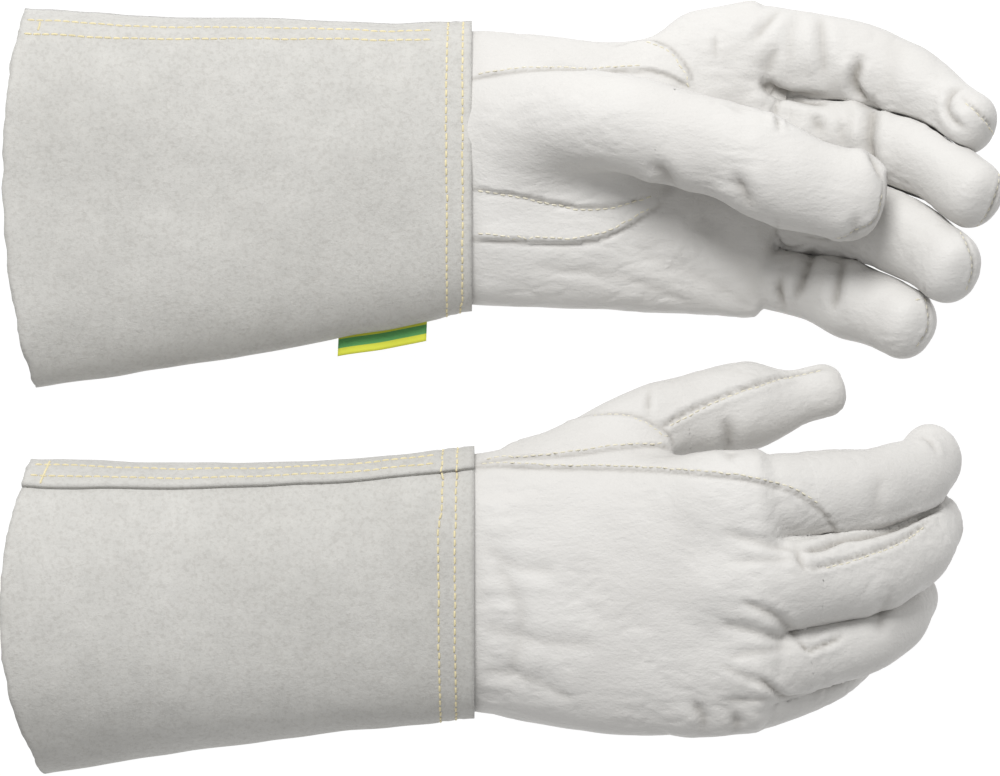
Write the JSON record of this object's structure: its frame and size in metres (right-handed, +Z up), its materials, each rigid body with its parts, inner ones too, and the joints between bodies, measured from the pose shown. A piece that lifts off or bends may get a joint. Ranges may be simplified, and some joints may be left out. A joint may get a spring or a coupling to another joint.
{
  "type": "welding gloves",
  "caption": "Pair of long-cuffed welding gauntlets with smooth leather hands and split-leather cuffs, lying side by side; the fingers and thumbs bend at their bases.",
  "frame": {"origin": "middle of the pair at the surface that both gloves lie on", "axes": "+X towards the fingertips, +Y towards the thumb side of both gloves, +Z up"},
  "size_m": [0.3542, 0.2732, 0.0838],
  "materials": {
    "grain_leather": "smooth off-white full-grain goatskin with a fine pebble grain and a soft satin sheen",
    "split_leather": "grey-beige split suede with a short mottled nap and fuzzy raw edges",
    "yellow_thread": "twisted heat-resistant sewing thread, pale yellow",
    "cream_thread": "twisted sewing thread, cream",
    "woven_label": "plain woven ribbon, lemon yellow with a green line",
    "elastic": "flat woven elastic, off-white"
  },
  "bodies": {
    "left_hand": {"left_cuff_back": "split_leather", "left_cuff_palm": "split_leather", "left_cuff_wrist_stitching": "yellow_thread", "left_cuff_side_stitching": "yellow_thread", "left_hand_back": "grain_leather", "left_hand_palm": "grain_leather", "left_back_seam_stitching": "cream_thread", "left_thumb_gusset": "grain_leather", "left_wrist_elastic": "elastic", "left_size_label": "woven_label"},
    "left_thumb": {"left_thumb_back": "grain_leather", "left_thumb_front": "grain_leather"},
    "left_index_finger": {"left_index_back": "grain_leather", "left_index_front": "grain_leather", "left_index_fourchette": "grain_leather"},
    "left_middle_finger": {"left_middle_back": "grain_leather", "left_middle_front": "grain_leather", "left_middle_fourchette": "grain_leather"},
    "left_ring_finger": {"left_ring_back": "grain_leather", "left_ring_front": "grain_leather", "left_ring_fourchette": "grain_leather"},
    "left_little_finger": {"left_little_back": "grain_leather", "left_little_front": "grain_leather", "left_little_fourchette": "grain_leather"},
    "right_hand": {"right_cuff_back": "split_leather", "right_cuff_palm": "split_leather", "right_cuff_wrist_stitching": "yellow_thread", "right_cuff_side_stitching": "yellow_thread", "right_hand_back": "grain_leather", "right_hand_palm": "grain_leather", "right_back_seam_stitching": "cream_thread", "right_thumb_gusset": "grain_leather", "right_wrist_elastic": "elastic"},
    "right_thumb": {"right_thumb_back": "grain_leather", "right_thumb_front": "grain_leather"},
    "right_index_finger": {"right_index_back": "grain_leather", "right_index_front": "grain_leather", "right_index_fourchette": "grain_leather"},
    "right_middle_finger": {"right_middle_back": "grain_leather", "right_middle_front": "grain_leather", "right_middle_fourchette": "grain_leather"},
    "right_ring_finger": {"right_ring_back": "grain_leather", "right_ring_front": "grain_leather", "right_ring_fourchette": "grain_leather"},
    "right_little_finger": {"right_little_back": "grain_leather", "right_little_front": "grain_leather", "right_little_fourchette": "grain_leather"}
  },
  "joints": [
    {"name": "right_glove_lift", "type": "slide", "parent": "left_hand", "child": "right_hand", "axis": [0, 0, 1], "range_m": [0, 0.15]},
    {"name": "left_index_flex", "type": "hinge", "parent": "left_hand", "child": "left_index_finger", "pos_m": [0.0949, 0.119, 0.018], "axis": [-0.1685, -0.9556, -0.2419], "range_deg": [-12, 24]},
    {"name": "left_middle_flex", "type": "hinge", "parent": "left_hand", "child": "left_middle_finger", "pos_m": [0.0969, 0.0915, 0.018], "axis": [-0.135, -0.9609, -0.2419], "range_deg": [-14, 13]},
    {"name": "left_ring_flex", "type": "hinge", "parent": "left_hand", "child": "left_ring_finger", "pos_m": [0.0959, 0.065, 0.018], "axis": [-0.1504, -0.9494, -0.2756], "range_deg": [-14, 16]},
    {"name": "left_little_flex", "type": "hinge", "parent": "left_hand", "child": "left_little_finger", "pos_m": [0.0929, 0.039, 0.018], "axis": [-0.1669, -0.9467, -0.2756], "range_deg": [-14, 24]},
    {"name": "left_thumb_flex", "type": "hinge", "parent": "left_hand", "child": "left_thumb", "pos_m": [0.0509, 0.091, 0.055], "axis": [0.2241, 0.8365, -0.5], "range_deg": [-40, 0]},
    {"name": "right_index_flex", "type": "hinge", "parent": "right_hand", "child": "right_index_finger", "pos_m": [0.0979, -0.038, 0.062], "axis": [-0.0852, 0.9744, 0.2079], "range_deg": [-24, 20]},
    {"name": "right_middle_flex", "type": "hinge", "parent": "right_hand", "child": "right_middle_finger", "pos_m": [0.0989, -0.065, 0.066], "axis": [-0.1187, 0.9671, 0.2249], "range_deg": [-24, 20]},
    {"name": "right_ring_flex", "type": "hinge", "parent": "right_hand", "child": "right_ring_finger", "pos_m": [0.0959, -0.0915, 0.062], "axis": [-0.1177, 0.9587, 0.2588], "range_deg": [-24, 20]},
    {"name": "right_little_flex", "type": "hinge", "parent": "right_hand", "child": "right_little_finger", "pos_m": [0.0934, -0.1155, 0.052], "axis": [-0.1165, 0.9492, 0.2924], "range_deg": [-24, 20]},
    {"name": "right_thumb_flex", "type": "hinge", "parent": "right_hand", "child": "right_thumb", "pos_m": [0.0559, -0.01, 0.04], "axis": [0.0453, -0.8648, -0.5], "range_deg": [-35, 8]}
  ]
}
